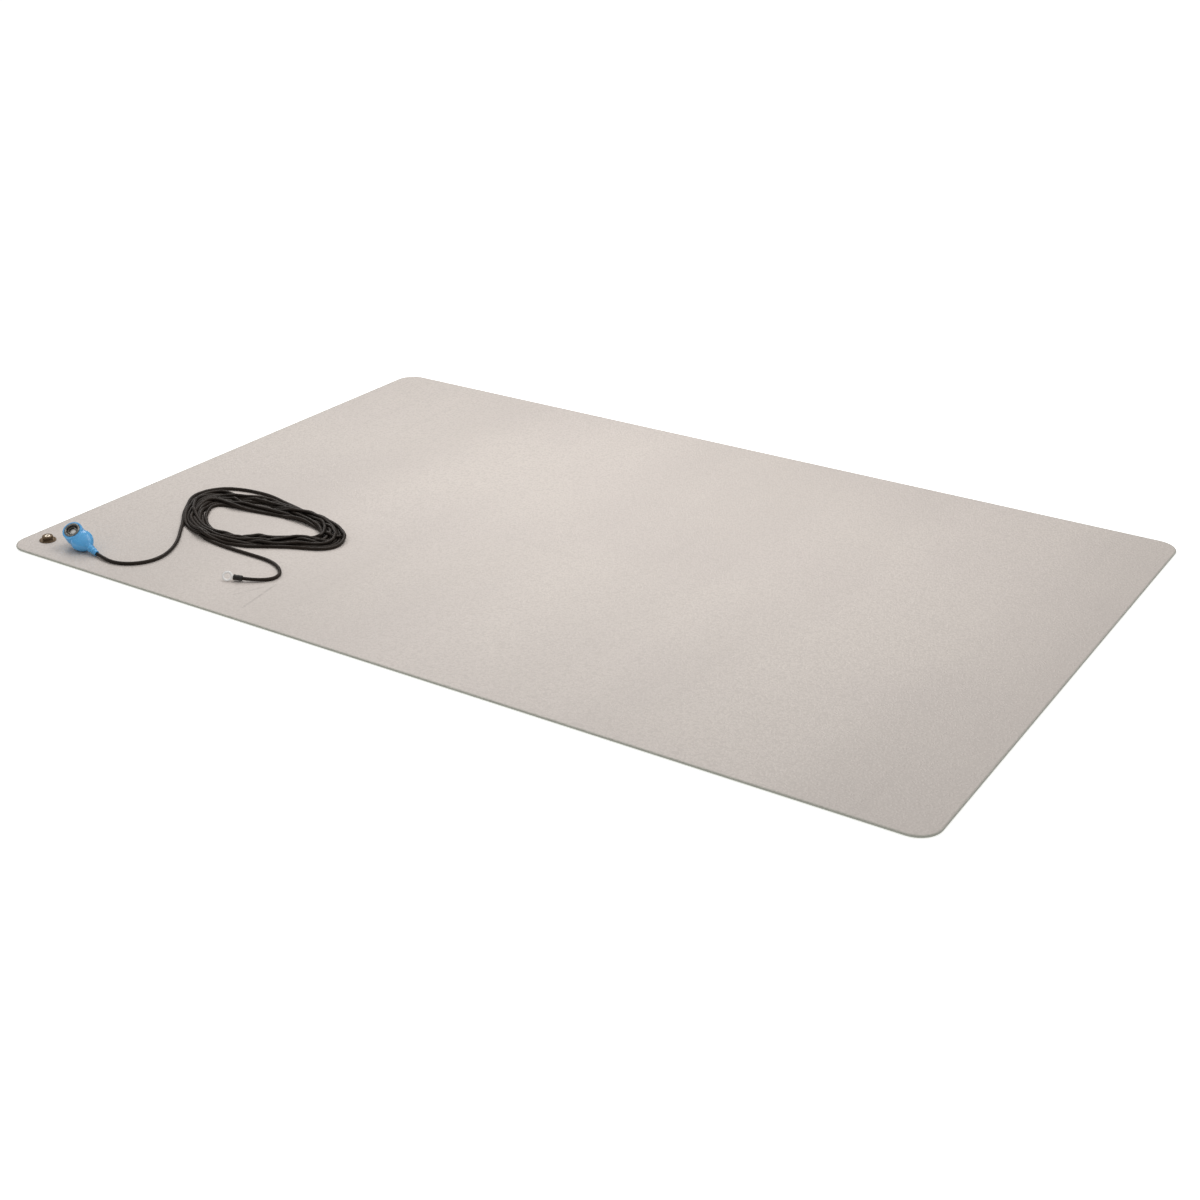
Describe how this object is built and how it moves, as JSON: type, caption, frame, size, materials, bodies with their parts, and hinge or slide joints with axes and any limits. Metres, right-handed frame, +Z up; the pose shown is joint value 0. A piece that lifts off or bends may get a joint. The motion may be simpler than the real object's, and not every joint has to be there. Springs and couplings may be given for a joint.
{
  "type": "anti static bench mat",
  "caption": "Flat static dissipative bench mat with rounded corners, a press stud in one corner and a coiled ground cord with a snap at one end and a ring terminal at the other.",
  "frame": {"origin": "centre of the mat's underside, on the surface it lies on", "axes": "+X along the mat's long side, +Y along its short side, away from the long edge near which the stud sits, +Z up"},
  "size_m": [0.9, 0.6, 0.0252],
  "materials": {
    "mat": "satin, fine pebble grain, warm light grey",
    "stud": "tarnished, dull gloss",
    "rivet": "rubbed bright",
    "housing": "glossy moulded sky blue",
    "socket": "dull pressed metal",
    "cord": "black, slightly satin",
    "sleeve": "matt black",
    "terminal": "bright tinned"
  },
  "bodies": {
    "root": {"mat": "mat", "snap_stud": "stud", "stud_rivet": "rivet", "cord_snap_housing": "housing", "cord_snap_socket": "socket", "cord_lead": "cord", "cord_coil": "cord", "cord_tail": "cord", "terminal_sleeve": "sleeve", "ring_terminal": "terminal"}
  },
  "joints": []
}
